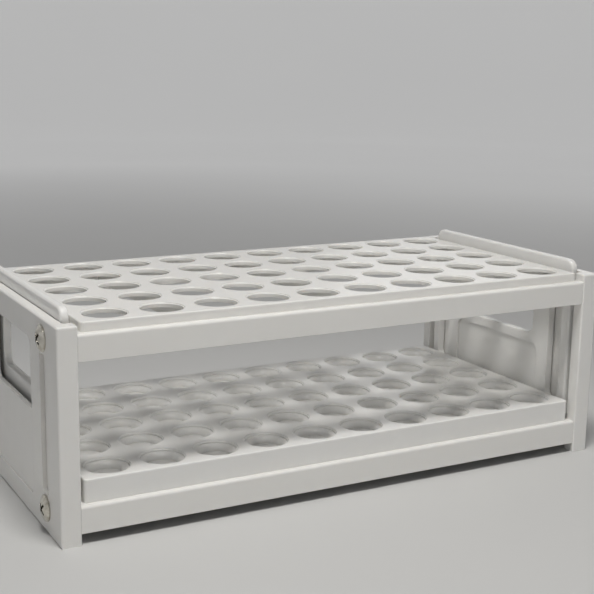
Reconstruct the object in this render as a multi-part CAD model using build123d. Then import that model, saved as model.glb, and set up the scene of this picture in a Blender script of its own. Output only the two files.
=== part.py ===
"""Test tube rack for fifty 20 mm tubes, with a lift plate that raises the tubes.

Units are millimetres. X runs along the length, Y from the front (-Y) to the back, +Z is up.
The origin is the centre of the rectangle that the rack stands on.
"""

from build123d import *
import math
import os

# tube grid
COLUMNS = 10
ROWS = 5
HOLE_D = 20.0
HOLE_GAP = 7.0
PITCH = HOLE_D + HOLE_GAP
RIM_R = 0.6

# whole rack
LENGTH = 298.0
WIDTH = 143.0
LIFT_TRAVEL = 54.0
FIT_GAP = 0.3
OVER = 1.0

# end plates
END_H = 98.5
END_T = 9.5
WEB_T = 3.0
TOP_RIM_T = 4.8
TOP_RIM_H = 6.5
BOTTOM_RIM_H = 3.0
POST_W = 6.5
POCKET_INSET = 2.0
EDGE_R = 0.9
HANDLE_W = 64.0
HANDLE_Z0 = 51.5
HANDLE_Z1 = 86.0
HANDLE_R = 4.5
DISH_DEPTH = 0.8
DISH_Z0 = 11.0
CHANNEL_W = 9.0
CHANNEL_DEPTH = 2.0
CHANNEL_Z0 = 18.6
CHANNEL_Z1 = 82.4
CHANNEL_R = 1.0
GUIDE_W = 13.0
GUIDE_H = 1.3
BOSS_D = 9.4

# screws and nuts
SCREW_Y = 50.5
SCREW_LOW_Z = 11.5
SCREW_TOP_Z = 89.5
SHANK_D = 4.9
SCREW_HOLE_D = 5.2
SCREW_LEN = 16.0
HEAD_D = 12.4
HEAD_H = 2.4
HEAD_RIM_H = 0.7
CROSS_LEN = 6.4
CROSS_W = 1.3
CROSS_DEPTH = 1.4
NUT_AF = 8.0
NUT_T = 4.0
NUT_BORE_D = 5.0
NUT_X0 = 132.8
NUT_FIT = 0.05

# the two plates' rails and platforms
RAIL_INSET = 0.6
WALL_T = 2.4
LEDGE_T = 2.5
RAIL_R = 1.3
PLATFORM_L = 274.0
PLATFORM_W = 135.4
PLATFORM_R = 0.7
CORNER_R = 1.5
PLATE_T = 2.4
SKIRT_T = 2.2
RIB_T = 2.0
RIB_XS = (-81.0, 0.0, 81.0)
RACK_TOP = 99.0
UPPER_LEDGE_Z = 94.5
UPPER_Z0 = 82.5
UPPER_RIB_Z = 88.0
BASE_Z0 = 5.0
BASE_LEDGE_Z = 17.5
WINDOW_L = 262.0
WINDOW_W = 120.0
WINDOW_R = 2.0
CROSS_BAR_W = 12.0
NUT_BLOCK_L = 7.5
NUT_BLOCK_W = 13.0

# well plate
WELL_TOP = UPPER_Z0 - LIFT_TRAVEL
WELL_D = 20.6
WELL_DEPTH = 4.4
WELL_FLOOR_R = 3.0
CUP_T = 1.6
WELL_RIB_Z = 21.0

# lift panels
PANEL_T = 4.0
PANEL_GAP = 0.4
LIFT_W = 123.0
LIFT_Z0 = 18.3
LIFT_Z1 = 104.5
LIFT_CORNER_R = 5.0
LIFT_EDGE_R = 1.2
LIFT_HANDLE_Z0 = 58.0
LIFT_HANDLE_RIM_R = 0.8
SLOT_W = BOSS_D + 2 * FIT_GAP
SLOT_Z0 = 24.0
SLOT_Z1 = 95.0
PANEL_DISH_W = 73.0
PANEL_DISH_Z0 = 24.0
PANEL_DISH_Z1 = 52.5
PANEL_DISH_DEPTH = 1.0
TAB_YS = (-34.0, 0.0, 34.0)
TAB_W = 16.0
TAB_H = 3.0
TAB_Z0 = 19.5
TAB_FIT = 0.1
HOOK_L = 1.2
HOOK_H = 1.6

# places worked out from the sizes above
OUTER_X = LENGTH / 2
INNER_X = OUTER_X - END_T
RAIL_Y = WIDTH / 2 - RAIL_INSET
LIFT_X0 = INNER_X + PANEL_GAP
LIFT_X1 = LIFT_X0 + PANEL_T
SKIRT_X = PLATFORM_L / 2


def box(x, y, z):
    """A box from its (low, high) pair along each axis."""
    size = [high - low for low, high in (x, y, z)]
    middle = [(low + high) / 2 for low, high in (x, y, z)]
    return Pos(*middle) * Box(*size)


def round_box(x, y, z, axis, radius):
    """A box whose four edges along one axis are rounded."""
    solid = box(x, y, z)
    return fillet(solid.edges().filter_by(axis), radius)


def about(middle, width):
    """The (low, high) pair of a stretch given by its middle and width."""
    return middle - width / 2, middle + width / 2


def bar_x(diameter, x, y, z):
    """A round bar along X between the two ends of x."""
    low, high = x
    return Pos((low + high) / 2, y, z) * Rot(0, 90, 0) * Cylinder(diameter / 2, high - low)


def grid_points():
    """The centres of the tube holes, column by column."""
    for column in range(COLUMNS):
        for row in range(ROWS):
            yield (column - (COLUMNS - 1) / 2) * PITCH, (row - (ROWS - 1) / 2) * PITCH


def screw_places():
    """(name, y, z) of the four screws in one end plate."""
    for depth, side in (("front", -1), ("rear", 1)):
        for level, z in (("bottom", SCREW_LOW_Z), ("top", SCREW_TOP_Z)):
            yield f"{depth}_{level}", side * SCREW_Y, z


def other_end(solid):
    """The same piece at the left end of the rack."""
    return mirror(solid, about=Plane.YZ)


def end_plate_blank():
    """A slab with rounded outer edges, hollowed from inside so that two posts and a thin web are left."""
    slab = box((INNER_X, OUTER_X), about(0, WIDTH), (0, END_H))
    outer = slab.faces().sort_by(Axis.X)[-1].edges()
    top = slab.faces().sort_by(Axis.Z)[-1].edges()
    uprights = slab.edges().filter_by(Axis.Z)
    slab = fillet(list(set(outer) | set(top) | set(uprights)), EDGE_R)
    channel_w = WIDTH - 2 * POST_W
    slab -= box((INNER_X - OVER, OUTER_X - TOP_RIM_T), about(0, channel_w), (-OVER, END_H + OVER))
    pocket_z = (BOTTOM_RIM_H, END_H - TOP_RIM_H)
    slab -= box((INNER_X, OUTER_X - WEB_T), about(0, channel_w - 2 * POCKET_INSET), pocket_z)
    return slab


def end_plate():
    """The right end plate: posts, web with a hand opening, guide ribs, screw bosses and outer channels."""
    plate = end_plate_blank()
    web_x = OUTER_X - WEB_T
    pocket_z = (BOTTOM_RIM_H, END_H - TOP_RIM_H)
    for side in (-1, 1):
        y = side * SCREW_Y
        plate += box((web_x - GUIDE_H, web_x), about(y, GUIDE_W), pocket_z)
        channel_x = (OUTER_X - CHANNEL_DEPTH, OUTER_X + OVER)
        channel_z = (CHANNEL_Z0, CHANNEL_Z1)
        plate -= round_box(channel_x, about(y, CHANNEL_W), channel_z, Axis.X, CHANNEL_R)
    for _, y, z in screw_places():
        plate += bar_x(BOSS_D, (INNER_X, web_x), y, z)
        plate -= bar_x(SCREW_HOLE_D, (INNER_X - OVER, OUTER_X + OVER), y, z)
    dish_x = (OUTER_X - DISH_DEPTH, OUTER_X + OVER)
    plate -= round_box(dish_x, about(0, HANDLE_W), (DISH_Z0, HANDLE_Z1), Axis.X, HANDLE_R)
    through_x = (INNER_X - OVER, OUTER_X + OVER)
    plate -= round_box(through_x, about(0, HANDLE_W), (HANDLE_Z0, HANDLE_Z1), Axis.X, HANDLE_R)
    return plate


def rail_ring(z):
    """The outer block of a plate's four rails, with the long upper edges rounded."""
    ring = box(about(0, 2 * INNER_X), about(0, 2 * RAIL_Y), z)
    long_edges = ring.faces().sort_by(Axis.Z)[-1].edges().filter_by(Axis.X)
    return fillet(long_edges, RAIL_R)


def rail_cavity(z):
    """The hollow under a plate's ledge."""
    return box(about(0, 2 * (INNER_X - WALL_T)), about(0, 2 * (RAIL_Y - WALL_T)), z)


def platform(z):
    """The raised platform that carries the holes, with rounded corners and upper edges."""
    block = round_box(about(0, PLATFORM_L), about(0, PLATFORM_W), z, Axis.Z, CORNER_R)
    return fillet(block.faces().sort_by(Axis.Z)[-1].edges(), PLATFORM_R)


def platform_cavity(z):
    """The hollow under a platform."""
    return box(about(0, PLATFORM_L - 2 * SKIRT_T), about(0, PLATFORM_W - 2 * SKIRT_T), z)


def cross_ribs(z):
    """Ribs across a platform's underside, between columns of holes."""
    return [box(about(x, RIB_T), about(0, PLATFORM_W - SKIRT_T), z) for x in RIB_XS]


def at_screws(make):
    """What make(end, y) gives at the four places where screws enter a plate's ends."""
    return [make(end, side * SCREW_Y) for end in (-1, 1) for side in (-1, 1)]


def from_end(end, near, far):
    """The X stretch between two distances from the middle, at the right (+1) or left (-1) end."""
    return tuple(sorted((end * near, end * far)))


def nut_blocks(z):
    """Solid blocks behind a plate's end walls, for the nuts."""
    near = INNER_X - NUT_BLOCK_L
    return at_screws(lambda end, y: box(from_end(end, near, INNER_X), about(y, NUT_BLOCK_W), z))


def nut_pockets(z_screw, z_open):
    """Nut pockets that are open downwards, with flats that stop the nuts from turning."""
    z = (z_open - OVER, z_screw + NUT_AF / math.sqrt(3) + NUT_FIT)
    width = NUT_AF + 2 * NUT_FIT
    near, far = NUT_X0 - NUT_FIT, NUT_X0 + NUT_T + NUT_FIT
    return at_screws(lambda end, y: box(from_end(end, near, far), about(y, width), z))


def screw_holes(z_screw):
    """Clearance holes for the screws through a plate's end walls and nut blocks."""
    near, far = INNER_X - NUT_BLOCK_L - OVER, INNER_X + OVER
    return at_screws(lambda end, y: bar_x(SCREW_HOLE_D, from_end(end, near, far), y, z_screw))


def add_nut_seats(plate, z_screw, z_low, z_high):
    """A plate with its nut blocks, nut pockets and screw holes."""
    plate += nut_blocks((z_low, z_high))
    plate -= nut_pockets(z_screw, z_low)
    plate -= screw_holes(z_screw)
    return plate


def hole_cutter():
    """A tube hole with a softly rounded upper rim, cut down from z = 0."""
    r = HOLE_D / 2
    flare = r + RIM_R
    low = -PLATE_T - OVER
    with BuildSketch(Plane.XZ) as outline:
        with BuildLine():
            Polyline((r, -RIM_R), (r, low), (0, low), (0, OVER), (flare, OVER), (flare, 0))
            RadiusArc((flare, 0), (r, -RIM_R), RIM_R)
        make_face()
    return revolve(outline.sketch, Axis.Z)


def well_cutter():
    """A shallow well with a rounded rim and a floor that curves up into its wall, cut down from z = 0."""
    r = WELL_D / 2
    flare = r + RIM_R
    floor_r = r - WELL_FLOOR_R
    wall_z = WELL_FLOOR_R - WELL_DEPTH
    with BuildSketch(Plane.XZ) as outline:
        with BuildLine():
            Polyline((floor_r, -WELL_DEPTH), (0, -WELL_DEPTH), (0, OVER), (flare, OVER), (flare, 0))
            RadiusArc((flare, 0), (r, -RIM_R), RIM_R)
            Line((r, -RIM_R), (r, wall_z))
            RadiusArc((r, wall_z), (floor_r, -WELL_DEPTH), -WELL_FLOOR_R)
        make_face()
    return revolve(outline.sketch, Axis.Z)


def at_grid(solid, z):
    """Copies of a solid at all the tube holes."""
    return [Pos(x, y, z) * solid for x, y in grid_points()]


def upper_plate():
    """The fixed upper moulding: rails, ledge and the platform with the tube holes."""
    plate = rail_ring((UPPER_Z0, UPPER_LEDGE_Z)) + platform((UPPER_Z0, RACK_TOP))
    plate -= rail_cavity((UPPER_Z0 - OVER, UPPER_LEDGE_Z - LEDGE_T))
    plate -= platform_cavity((UPPER_Z0 - OVER, RACK_TOP - PLATE_T))
    plate += cross_ribs((UPPER_RIB_Z, RACK_TOP - PLATE_T))
    plate = add_nut_seats(plate, SCREW_TOP_Z, UPPER_Z0, UPPER_LEDGE_Z)
    plate -= at_grid(hole_cutter(), RACK_TOP)
    return plate


def base_frame():
    """The fixed lower moulding: rails and a ledge round two windows, with a bar between them."""
    frame = rail_ring((BASE_Z0, BASE_LEDGE_Z))
    frame -= rail_cavity((BASE_Z0 - OVER, BASE_LEDGE_Z - LEDGE_T))
    window_l = (WINDOW_L - CROSS_BAR_W) / 2
    for side in (-1, 1):
        x = about(side * (window_l + CROSS_BAR_W) / 2, window_l)
        frame -= round_box(x, about(0, WINDOW_W), (0, BASE_LEDGE_Z + OVER), Axis.Z, WINDOW_R)
    rib_y = about(0, 2 * (RAIL_Y - WALL_T) + RIB_T)
    frame += box(about(0, RIB_T), rib_y, (BASE_Z0, BASE_LEDGE_Z - LEDGE_T))
    return add_nut_seats(frame, SCREW_LOW_Z, BASE_Z0, BASE_LEDGE_Z)


def tab_slots():
    """Slots through the well plate's end skirts, one for each tab of the lift panels."""
    z = (TAB_Z0 - TAB_FIT, TAB_Z0 + TAB_H + TAB_FIT)
    width = TAB_W + 2 * TAB_FIT
    x = {end: from_end(end, SKIRT_X - SKIRT_T - OVER, SKIRT_X + OVER) for end in (-1, 1)}
    return [box(x[end], about(y, width), z) for end in (-1, 1) for y in TAB_YS]


def well_plate():
    """The plate that lifts: a platform with fifty shallow wells for the ends of the tubes."""
    plate = platform((BASE_LEDGE_Z, WELL_TOP))
    plate -= platform_cavity((BASE_LEDGE_Z - OVER, WELL_TOP - PLATE_T))
    plate += cross_ribs((WELL_RIB_Z, WELL_TOP - PLATE_T))
    cup_h = WELL_DEPTH + CUP_T - OVER
    cup_z = WELL_TOP - WELL_DEPTH - CUP_T + cup_h / 2
    plate += at_grid(Cylinder(WELL_D / 2 + CUP_T, cup_h), cup_z)
    plate -= at_grid(well_cutter(), WELL_TOP)
    plate -= tab_slots()
    return plate


def lift_panel():
    """The right lift panel: a hand opening, two guide slots, a dished middle and tabs for the well plate."""
    x = (LIFT_X0, LIFT_X1)
    through = (LIFT_X0 - OVER, LIFT_X1 + OVER)
    panel = box(x, about(0, LIFT_W), (LIFT_Z0, LIFT_Z1))
    top_corners = panel.edges().filter_by(Axis.X).sort_by(Axis.Z)[-2:]
    panel = fillet(top_corners, LIFT_CORNER_R)
    faces = panel.faces().filter_by(Axis.X)
    rims = [e for f in faces for e in f.edges() if e.center().Z > LIFT_Z0 + OVER]
    panel = fillet(rims, LIFT_EDGE_R)
    handle = round_box(through, about(0, HANDLE_W), (LIFT_HANDLE_Z0, HANDLE_Z1), Axis.X, HANDLE_R)
    panel -= handle
    low, high = LIFT_HANDLE_Z0 - OVER, HANDLE_Z1 + OVER
    edges = [e for f in panel.faces().filter_by(Axis.X) for e in f.edges()]
    inner = [e for e in edges if abs(e.center().Y) <= HANDLE_W / 2 + TAB_FIT]
    handle_rims = [e for e in inner if low < e.center().Z < high]
    panel = fillet(handle_rims, LIFT_HANDLE_RIM_R)
    for side in (-1, 1):
        slot_y = about(side * SCREW_Y, SLOT_W)
        panel -= round_box(through, slot_y, (SLOT_Z0, SLOT_Z1), Axis.X, SLOT_W / 2 - TAB_FIT)
    dish_x = (LIFT_X0 - OVER, LIFT_X0 + PANEL_DISH_DEPTH)
    panel -= round_box(dish_x, about(0, PANEL_DISH_W), (PANEL_DISH_Z0, PANEL_DISH_Z1), Axis.X, HANDLE_R)
    hook_x1 = SKIRT_X - SKIRT_T - TAB_FIT
    for y in TAB_YS:
        panel += box((hook_x1 - HOOK_L, LIFT_X0), about(y, TAB_W), (TAB_Z0, TAB_Z0 + TAB_H))
        hook_z = (TAB_Z0, TAB_Z0 + TAB_H + HOOK_H)
        panel += box((hook_x1 - HOOK_L, hook_x1), about(y, TAB_W), hook_z)
    return panel


def screw():
    """A truss head screw with a cross recess, pointing down from z = 0 with its head above."""
    rim = HEAD_D / 2
    shank = SHANK_D / 2
    tip = -SCREW_LEN
    dome_h = HEAD_H - HEAD_RIM_H
    dome_r = (rim**2 + dome_h**2) / (2 * dome_h)
    with BuildSketch(Plane.XZ) as outline:
        with BuildLine():
            Polyline((0, HEAD_H), (0, tip), (shank, tip), (shank, 0), (rim, 0), (rim, HEAD_RIM_H))
            RadiusArc((rim, HEAD_RIM_H), (0, HEAD_H), -dome_r)
        make_face()
    solid = revolve(outline.sketch, Axis.Z)
    recess_z = (HEAD_H - CROSS_DEPTH, HEAD_H + OVER)
    solid -= box(about(0, CROSS_LEN), about(0, CROSS_W), recess_z)
    solid -= box(about(0, CROSS_W), about(0, CROSS_LEN), recess_z)
    return solid


def nut():
    """A hexagon nut centred on the origin, with flats facing +Y and -Y once it lies along X."""
    blank = extrude(RegularPolygon(NUT_AF / 2, 6, major_radius=False), NUT_T / 2, both=True)
    return blank - Cylinder(NUT_BORE_D / 2, NUT_T + OVER)


def fasteners():
    """(name, solid) for every screw and nut, at both ends."""
    head_out = screw().rotate(Axis.Y, 90).rotate(Axis.X, 45)
    hexagon = nut().rotate(Axis.Y, 90)
    for name, y, z in screw_places():
        right_screw = Pos(OUTER_X, y, z) * head_out
        right_nut = Pos(NUT_X0 + NUT_T / 2, y, z) * hexagon
        yield f"right_{name}_screw", right_screw
        yield f"right_{name}_nut", right_nut
        yield f"left_{name}_screw", other_end(right_screw)
        yield f"left_{name}_nut", other_end(right_nut)


def pieces():
    """Every piece of the rack by its name."""
    right_end = end_plate()
    right_lift = lift_panel()
    made = {
        "right_end_plate": right_end,
        "left_end_plate": other_end(right_end),
        "upper_plate": upper_plate(),
        "base_frame": base_frame(),
        "well_plate": well_plate(),
        "right_lift_panel": right_lift,
        "left_lift_panel": other_end(right_lift),
    }
    made.update(fasteners())
    return made


os.makedirs("parts", exist_ok=True)
for piece_name, piece in pieces().items():
    export_step(piece, f"parts/{piece_name}.step")
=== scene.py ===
"""Looks for the test tube rack: white moulded plastic, nickel screws, zinc nuts, soft studio light."""

import bmesh
import bpy
import math
from mathutils import Matrix, Vector


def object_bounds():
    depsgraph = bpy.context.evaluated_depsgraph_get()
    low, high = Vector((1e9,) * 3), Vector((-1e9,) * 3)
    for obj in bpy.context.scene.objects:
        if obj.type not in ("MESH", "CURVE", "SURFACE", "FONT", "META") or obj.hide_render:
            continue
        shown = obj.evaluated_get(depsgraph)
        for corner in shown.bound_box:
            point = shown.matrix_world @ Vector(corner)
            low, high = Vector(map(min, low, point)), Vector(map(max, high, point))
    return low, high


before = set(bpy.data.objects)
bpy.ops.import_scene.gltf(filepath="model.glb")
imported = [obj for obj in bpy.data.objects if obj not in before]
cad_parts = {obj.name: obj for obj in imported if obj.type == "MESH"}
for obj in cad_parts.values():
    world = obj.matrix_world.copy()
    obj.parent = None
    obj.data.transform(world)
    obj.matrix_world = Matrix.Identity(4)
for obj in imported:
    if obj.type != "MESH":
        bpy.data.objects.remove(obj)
cad_low, cad_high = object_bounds()

MM = 0.001

# camera: where it looks from, relative to the middle of the rack
VIEW_AZIMUTH = math.radians(28.15)
VIEW_ELEVATION = math.radians(11.98)
VIEW_ROLL = math.radians(0.82)
VIEW_DISTANCE = 623.4 * MM
VIEW_AIM = Vector((-2.6, 8.9, 31.1)) * MM
LENS = 70.6
SHIFT_X = 0.0354

# backdrop
FLOOR_R = 2.2
SWEEP_R = 0.9
SWEEP_STEPS = 12
SPIN_STEPS = 96
GLOW = 0.32
GLOW_NEAR = 0.4
GLOW_FAR = 1.6

# lights: name, place from the middle of the rack, (width, height), watts and colour
WHITE = (1.0, 1.0, 1.0)
LAMPS = (
    ("key", (-0.12, -0.24, 0.74), (0.24, 0.17), 4.2, (1.0, 0.985, 0.96)),
    ("front_fill", (0.10, -1.25, 0.30), (0.9, 0.6), 0.65, WHITE),
    ("left_fill", (-1.2, -0.35, 0.45), (0.5, 0.5), 0.1, WHITE),
    ("rear_fill", (1.0, 0.9, 0.55), (0.8, 0.6), 0.8, WHITE),
)
SKY_STRENGTH = 0.5

# fine marks on the plastic
MARK_STRETCH = 0.03
MARK_WIDTH = 0.006

# the plastic's gloss, as the lowest and highest roughness
GLOSS_LOW = 0.20
GLOSS_HIGH = 0.262

# how softly the edges catch the light
PLASTIC_EDGE_R = 0.35 * MM
NICKEL_EDGE_R = 0.15 * MM
ZINC_EDGE_R = 0.2 * MM


class Shader:
    """A material's node tree, with short calls for adding and joining nodes."""

    def __init__(self, name):
        self.material = bpy.data.materials.new(name)
        self.material.use_nodes = True
        self.tree = self.material.node_tree
        self.surface = self.tree.nodes["Principled BSDF"]
        here = self.node("ShaderNodeTexCoord")
        self.place = here.outputs["Object"]
        self.normal = self.node("ShaderNodeSeparateXYZ", {"Vector": here.outputs["Normal"]})

    def node(self, kind, inputs=None, **settings):
        made = self.tree.nodes.new(kind)
        for name, value in settings.items():
            setattr(made, name, value)
        for name, value in (inputs or {}).items():
            self.give(made.inputs[name], value)
        return made

    def give(self, socket, value):
        """Sets a socket to a number or a colour, or joins it to another node's output."""
        if isinstance(value, bpy.types.NodeSocket):
            self.tree.links.new(value, socket)
        else:
            socket.default_value = value

    def stretched(self, x, y, z):
        """The object's own coordinates, scaled along each axis."""
        return self.node("ShaderNodeMapping", {"Vector": self.place, "Scale": (x, y, z)}).outputs["Vector"]

    def noise(self, per_metre, detail=2.0, roughness=0.5, where=None):
        """Smooth noise with a given number of cells per metre."""
        inputs = {"Vector": where or self.place, "Scale": per_metre, "Detail": detail, "Roughness": roughness}
        return self.node("ShaderNodeTexNoise", inputs).outputs["Fac"]

    def between(self, value, low, high, out_low=0.0, out_high=1.0):
        """Maps value from low..high to out_low..out_high, clamped."""
        inputs = {"Value": value, "From Min": low, "From Max": high, "To Min": out_low, "To Max": out_high}
        return self.node("ShaderNodeMapRange", inputs).outputs["Result"]

    def math(self, operation, a, b):
        made = self.node("ShaderNodeMath", operation=operation)
        self.give(made.inputs[0], a)
        self.give(made.inputs[1], b)
        return made.outputs["Value"]

    def mix(self, share, a, b):
        """A colour that goes from a to b as share goes from 0 to 1."""
        made = self.node("ShaderNodeMix", data_type="RGBA")
        self.give(made.inputs["Factor"], share)
        self.give(made.inputs["A"], a)
        self.give(made.inputs["B"], b)
        return made.outputs["Result"]

    def bump(self, height, depth, under=None):
        """A bump whose height of 0..1 is depth metres deep, on top of another normal."""
        inputs = {"Height": height, "Distance": depth, "Strength": 1.0}
        if under:
            inputs["Normal"] = under
        return self.node("ShaderNodeBump", inputs).outputs["Normal"]


def rgb(red, green, blue):
    """An opaque colour."""
    return red, green, blue, 1.0


def scratches(shader, per_metre, along):
    """Long thin marks along one axis, on the faces that it lies in: 1 on a mark and 0 elsewhere."""
    draw_out = [MARK_STRETCH if axis == along else 1.0 for axis in "XYZ"]
    lines = shader.noise(per_metre, 0.0, 0.5, shader.stretched(*draw_out))
    off_line = shader.math("ABSOLUTE", shader.math("SUBTRACT", lines, 0.5), 0.0)
    facing = shader.math("ABSOLUTE", shader.normal.outputs[along], 0.0)
    patches = shader.between(shader.noise(30.0, 1.0), 0.54, 0.66)
    seen = shader.math("MULTIPLY", patches, shader.between(facing, 0.6, 0.3))
    return shader.math("MULTIPLY", shader.between(off_line, MARK_WIDTH, 0.0), seen)


def painted_shade(shader, reach):
    """Painted shade in inner corners and seams, darker where the surface is less open: 1 deep in a corner and
    0 on open faces.
    """
    inputs = {"Distance": reach}
    open_share = shader.node("ShaderNodeAmbientOcclusion", inputs, samples=4).outputs["AO"]
    return shader.between(open_share, 0.55, 0.15)


def specks(shader, per_metre, radius, share):
    """Tiny dark inclusions in the plastic: 1 inside a speck and 0 elsewhere."""
    cells = shader.node("ShaderNodeTexVoronoi", {"Vector": shader.place, "Scale": per_metre})
    inside = shader.between(cells.outputs["Distance"], radius, radius * 0.5)
    tone = shader.node("ShaderNodeSeparateColor", {"Color": cells.outputs["Color"]}).outputs["Red"]
    chosen = shader.math("LESS_THAN", tone, share)
    return shader.math("MULTIPLY", inside, chosen)


def white_plastic(name, tint, streak):
    """Satin moulded plastic: faint mottling, flow streaks, handling scuffs, inclusions and soft edges."""
    shader = Shader(name)
    mottle = shader.between(shader.noise(14.0, 2.0, 0.5), 0.3, 0.7)
    flow = shader.between(shader.noise(9.0, 3.0, 0.55, shader.stretched(*streak)), 0.3, 0.7)
    body = shader.mix(shader.math("MULTIPLY", mottle, 0.25), tint, rgb(0.82, 0.805, 0.77))
    body = shader.mix(shader.math("MULTIPLY", flow, 0.2), body, rgb(0.86, 0.855, 0.84))
    scuffs = scratches(shader, 170.0, "Y")
    rubs = scratches(shader, 190.0, "X")
    wear = shader.math("MAXIMUM", scuffs, rubs)
    body = shader.mix(shader.math("MULTIPLY", wear, 0.12), body, rgb(0.93, 0.93, 0.92))
    dirt = specks(shader, 75.0, 0.022, 0.05)
    body = shader.mix(shader.math("MULTIPLY", dirt, 0.75), body, rgb(0.20, 0.17, 0.14))
    # painted shade: brownish darkening in inner corners and seams, where less light reaches
    body = shader.mix(shader.math("MULTIPLY", painted_shade(shader, 1.5 * MM), 0.35), body, rgb(0.42, 0.37, 0.30))
    surface = shader.surface
    shader.give(surface.inputs["Base Color"], body)

    gloss = shader.between(shader.noise(60.0, 3.0, 0.55), 0.3, 0.7, GLOSS_LOW, GLOSS_HIGH)
    shader.give(surface.inputs["Roughness"], gloss)
    soft = shader.node("ShaderNodeBevel", {"Radius": PLASTIC_EDGE_R}, samples=4).outputs["Normal"]
    shader.give(surface.inputs["Normal"], shader.bump(shader.noise(700.0, 1.0), 0.004 * MM, soft))
    surface.inputs["IOR"].default_value = 1.49
    surface.inputs["Subsurface Weight"].default_value = 0.15
    surface.inputs["Subsurface Radius"].default_value = (1.0, 0.92, 0.82)
    surface.inputs["Subsurface Scale"].default_value = 1.2 * MM
    return shader.material


def nickel():
    """Polished nickel plate with hairlines, faint pits and a warm tarnish in patches."""
    shader = Shader("nickel_plate")
    patches = shader.between(shader.noise(260.0, 4.0, 0.65), 0.4, 0.7)
    pits = shader.between(shader.noise(2400.0, 2.0), 0.66, 0.74)
    body = shader.mix(patches, rgb(0.74, 0.71, 0.64), rgb(0.40, 0.37, 0.30))
    body = shader.mix(shader.math("MULTIPLY", pits, 0.6), body, rgb(0.16, 0.14, 0.11))
    # painted shade: near-black darkening in the screw's recesses and around its head, where less light
    # reaches
    body = shader.mix(shader.math("MULTIPLY", painted_shade(shader, 1.2 * MM), 0.9), body, rgb(0.05, 0.045, 0.04))
    surface = shader.surface
    shader.give(surface.inputs["Base Color"], body)
    surface.inputs["Metallic"].default_value = 1.0
    hairlines = shader.noise(900.0, 3.0, 0.6, shader.stretched(1.0, 1.0, 0.15))
    shader.give(surface.inputs["Roughness"], shader.between(hairlines, 0.3, 0.7, 0.10, 0.24))
    soft = shader.node("ShaderNodeBevel", {"Radius": NICKEL_EDGE_R}, samples=4).outputs["Normal"]
    dents = shader.bump(shader.noise(420.0, 2.0), 0.05 * MM, soft)
    shader.give(surface.inputs["Normal"], shader.bump(hairlines, 0.003 * MM, dents))
    return shader.material


def zinc():
    """Zinc-plated steel: dull, faintly blue and yellow, with turning marks."""
    shader = Shader("zinc_steel")
    patches = shader.between(shader.noise(320.0, 4.0, 0.6), 0.35, 0.65)
    surface = shader.surface
    body = shader.mix(patches, rgb(0.62, 0.64, 0.67), rgb(0.66, 0.63, 0.52))
    shader.give(surface.inputs["Base Color"], body)
    surface.inputs["Metallic"].default_value = 1.0
    marks = shader.noise(1600.0, 2.0, 0.6, shader.stretched(1.0, 0.1, 0.1))
    shader.give(surface.inputs["Roughness"], shader.between(marks, 0.3, 0.7, 0.28, 0.45))
    soft = shader.node("ShaderNodeBevel", {"Radius": ZINC_EDGE_R}, samples=4).outputs["Normal"]
    shader.give(surface.inputs["Normal"], shader.bump(marks, 0.01 * MM, soft))
    return shader.material


def paint(material, names):
    """Gives CAD nodes a material in place of their own."""
    for name in names:
        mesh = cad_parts[name].data
        mesh.materials.clear()
        mesh.materials.append(material)


def dress_the_rack():
    """Every CAD node gets its finish: one plastic for each moulding's own tone, and the two metals."""
    upright = (1.0, 1.0, 0.15)
    lengthwise = (0.12, 1.0, 1.0)
    end_plastic = white_plastic("end_plate_plastic", rgb(0.845, 0.835, 0.81), upright)
    plate_plastic = white_plastic("plate_plastic", rgb(0.855, 0.845, 0.815), lengthwise)
    lift_plastic = white_plastic("lift_plastic", rgb(0.845, 0.84, 0.82), upright)
    paint(end_plastic, ("left_end_plate", "right_end_plate"))
    paint(plate_plastic, ("upper_plate", "base_frame"))
    paint(lift_plastic, ("well_plate", "left_lift_panel", "right_lift_panel"))
    paint(nickel(), [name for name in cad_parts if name.endswith("_screw")])
    paint(zinc(), [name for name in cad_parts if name.endswith("_nut")])


def backdrop():
    """A plain pale floor that sweeps up into a low round wall and glows more with distance."""
    profile = [(0.0, 0.0), (FLOOR_R, 0.0)]
    for step in range(1, SWEEP_STEPS + 1):
        turn = math.pi / 2 * step / SWEEP_STEPS
        profile.append((FLOOR_R + SWEEP_R * math.sin(turn), SWEEP_R * (1 - math.cos(turn))))
    shape = bmesh.new()
    points = [shape.verts.new((radius, 0.0, height)) for radius, height in profile]
    edges = [shape.edges.new(pair) for pair in zip(points, points[1:])]
    outline = points + edges
    turn = 2 * math.pi
    bmesh.ops.spin(shape, geom=outline, axis=(0, 0, 1), cent=(0, 0, 0), angle=turn, steps=SPIN_STEPS)
    bmesh.ops.remove_doubles(shape, verts=shape.verts, dist=MM)
    bmesh.ops.recalc_face_normals(shape, faces=shape.faces)
    mesh = bpy.data.meshes.new("floor")
    shape.to_mesh(mesh)
    mesh.shade_smooth()
    made = bpy.data.objects.new("floor", mesh)
    bpy.context.scene.collection.objects.link(made)
    shader = Shader("floor_paper")
    tone = shader.between(shader.noise(3.0, 3.0), 0.3, 0.7)
    paper = shader.mix(tone, rgb(0.62, 0.62, 0.61), rgb(0.64, 0.64, 0.63))
    shader.give(shader.surface.inputs["Base Color"], paper)
    shader.surface.inputs["Roughness"].default_value = 0.8
    reach = shader.node("ShaderNodeVectorMath", {"Vector": shader.place}, operation="LENGTH").outputs["Value"]
    glow = shader.between(reach, GLOW_NEAR, GLOW_FAR, 0.0, GLOW)
    shader.give(shader.surface.inputs["Emission Strength"], glow)
    shader.surface.inputs["Emission Color"].default_value = rgb(1.0, 1.0, 1.0)
    mesh.materials.append(shader.material)


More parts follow.
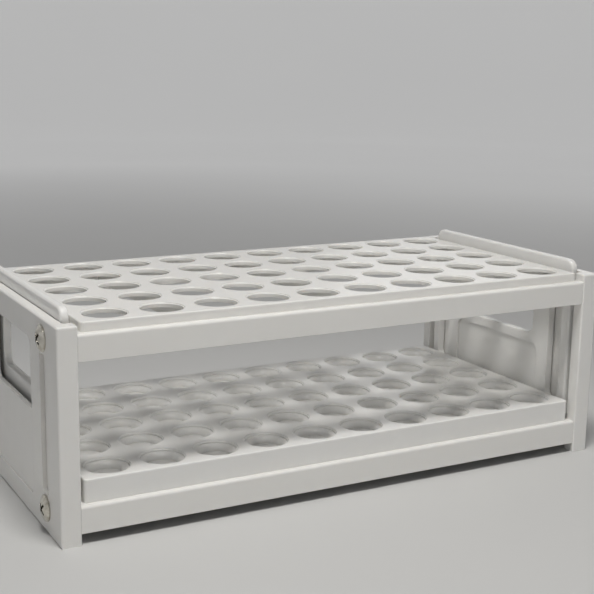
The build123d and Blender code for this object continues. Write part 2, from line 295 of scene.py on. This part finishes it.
def lamp(name, place, aim, size, power, colour):
    """A rectangular soft light at place, facing aim."""
    light = bpy.data.lights.new(name, "AREA")
    light.shape = "RECTANGLE"
    light.size, light.size_y = size
    light.energy = power
    light.color = colour
    made = bpy.data.objects.new(name, light)
    made.location = place
    made.rotation_euler = (aim - place).to_track_quat("-Z", "Y").to_euler()
    bpy.context.scene.collection.objects.link(made)


def sky():
    """Soft surrounding light, brighter overhead than at the horizon."""
    world = bpy.data.worlds.new("studio")
    world.use_nodes = True
    tree = world.node_tree
    direction = tree.nodes.new("ShaderNodeTexCoord").outputs["Generated"]
    height = tree.nodes.new("ShaderNodeSeparateXYZ")
    tree.links.new(direction, height.inputs["Vector"])
    ramp = tree.nodes.new("ShaderNodeValToRGB")
    tree.links.new(height.outputs["Z"], ramp.inputs["Fac"])
    ramp.color_ramp.elements[0].color = rgb(0.10, 0.10, 0.10)
    ramp.color_ramp.elements[1].color = rgb(0.30, 0.30, 0.31)
    background = tree.nodes["Background"]
    tree.links.new(ramp.outputs["Color"], background.inputs["Color"])
    background.inputs["Strength"].default_value = SKY_STRENGTH
    bpy.context.scene.world = world


def light_the_rack():
    """A soft key light overhead and a little in front, and weak wide fills from the front, left and rear."""
    middle = (cad_low + cad_high) / 2
    for name, place, size, power, colour in LAMPS:
        lamp(name, middle + Vector(place), middle, size, power, colour)
    sky()
    bpy.context.scene.view_settings.view_transform = "Standard"


def camera():
    """Looks at the rack from the front left, a little above it."""
    middle = (cad_low + cad_high) / 2
    flat = math.cos(VIEW_ELEVATION)
    ahead = Vector((
        math.sin(VIEW_AZIMUTH) * flat,
        math.cos(VIEW_AZIMUTH) * flat,
        -math.sin(VIEW_ELEVATION),
    ))
    right = Vector((math.cos(VIEW_AZIMUTH), -math.sin(VIEW_AZIMUTH), 0.0))
    up = right.cross(ahead)
    turn = Matrix.Rotation(VIEW_ROLL, 3, -ahead)
    right, up = turn @ right, turn @ up
    data = bpy.data.cameras.new("camera")
    data.lens = LENS
    data.shift_x = SHIFT_X
    data.clip_start = 0.01
    data.clip_end = 20.0
    made = bpy.data.objects.new("camera", data)
    axes = Matrix((right, up, -ahead)).transposed().to_4x4()
    made.matrix_world = Matrix.Translation(middle + VIEW_AIM - ahead * VIEW_DISTANCE) @ axes
    bpy.context.scene.collection.objects.link(made)
    bpy.context.scene.camera = made


dress_the_rack()
backdrop()
light_the_rack()
camera()
